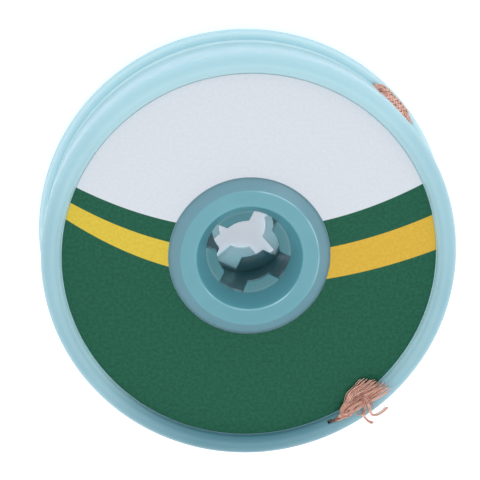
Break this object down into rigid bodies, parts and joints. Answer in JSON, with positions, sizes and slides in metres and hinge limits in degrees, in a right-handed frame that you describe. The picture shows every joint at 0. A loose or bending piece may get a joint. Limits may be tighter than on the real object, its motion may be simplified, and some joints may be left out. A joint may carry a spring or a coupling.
{
  "type": "desoldering braid bobbin",
  "caption": "Round plastic bobbin of woven copper desoldering braid: recessed face with a printed ring label, toothed hub bore, rim window and a frayed free end.",
  "frame": {"origin": "middle of the bobbin's back face, on the level floor that it lies on", "axes": "+Z along the bobbin's axis, out of the labelled face; +Y is up and +X is right on the label as the picture shows it"},
  "size_m": [0.054, 0.054, 0.0174],
  "materials": {
    "shell": "satin, slightly translucent",
    "label": "printed and coated",
    "braid": "bright woven copper"
  },
  "bodies": {
    "root": {"front_shell": "shell", "back_shell": "shell", "front_label": "label", "braid": "braid"}
  },
  "joints": []
}
